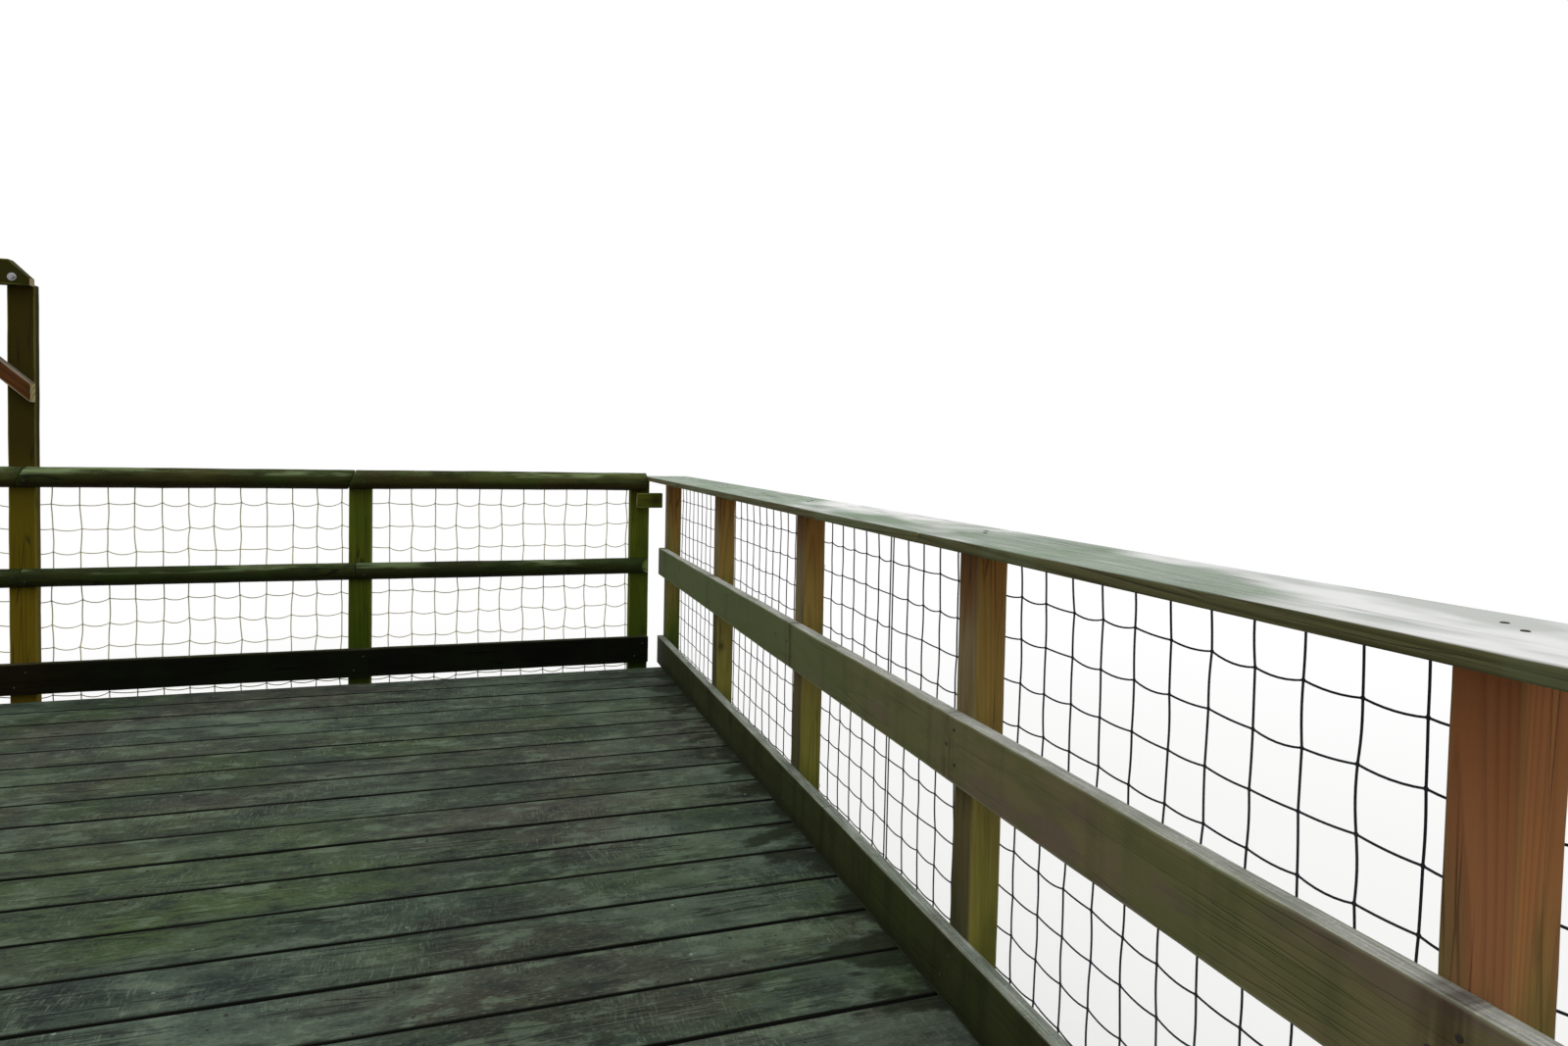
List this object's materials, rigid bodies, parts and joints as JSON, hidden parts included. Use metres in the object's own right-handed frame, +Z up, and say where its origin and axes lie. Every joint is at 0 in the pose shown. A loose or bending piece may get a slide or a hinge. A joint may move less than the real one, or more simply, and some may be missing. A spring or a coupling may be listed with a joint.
{
  "type": "tree house deck",
  "caption": "Raised timber deck of a tree house: plank floor, flat-topped side railings with nets, half-round back rails, braced post frame.",
  "frame": {"origin": "on the ground, under the middle of the deck's overall box", "axes": "+Y towards the back fence, along the side railings; +X to the right; +Z up"},
  "size_m": [5.15, 6.216, 4.55],
  "materials": {
    "frame_wood": "sawn, weathered",
    "deck_wood": "sawn, grey-green with damp and algae",
    "post_wood": "sawn, red-brown at the top and olive below",
    "handrail_wood": "silver-grey, weathered",
    "rail_wood": "sawn, grey-brown",
    "back_post_wood": "sawn, olive brown",
    "pole_wood": "peeled half-round pole, dark and worn",
    "toe_wood": "dark, damp",
    "strut_wood": "sawn, reddish",
    "side_net_cord": "dark knotted cord",
    "net_cord": "pale knotted cord"
  },
  "bodies": {
    "root": {"support_posts_front": "frame_wood", "support_posts_middle": "frame_wood", "support_posts_back": "frame_wood", "bearer_front": "frame_wood", "bearer_middle": "frame_wood", "bearer_back": "frame_wood", "knee_braces": "frame_wood", "rim_joist_left": "frame_wood", "rim_joist_right": "frame_wood", "header_joist_front": "frame_wood", "header_joist_back": "frame_wood", "joists": "frame_wood", "deck_boards": "deck_wood", "right_post_1": "post_wood", "right_post_2": "post_wood", "right_post_3": "post_wood", "right_post_4": "post_wood", "right_post_5": "post_wood", "right_post_6": "post_wood", "right_handrail": "handrail_wood", "right_side_rail": "rail_wood", "right_toe_board": "rail_wood", "right_mesh_back": "side_net_cord", "right_mesh_front": "side_net_cord", "left_posts": "post_wood", "left_handrail": "handrail_wood", "left_side_rail": "rail_wood", "left_toe_board": "rail_wood", "left_mesh_back": "side_net_cord", "left_mesh_front": "side_net_cord", "back_corner_post": "back_post_wood", "back_middle_post": "back_post_wood", "back_tall_post": "back_post_wood", "left_tall_post": "back_post_wood", "back_top_rail_right": "pole_wood", "back_top_rail_middle": "pole_wood", "back_top_rail_left": "pole_wood", "back_mid_rail_right": "pole_wood", "back_mid_rail_middle": "pole_wood", "back_mid_rail_left": "pole_wood", "back_toe_board": "toe_wood", "back_net": "net_cord", "corner_blocks": "back_post_wood", "head_beam": "back_post_wood", "head_beam_struts": "strut_wood"}
  },
  "joints": []
}
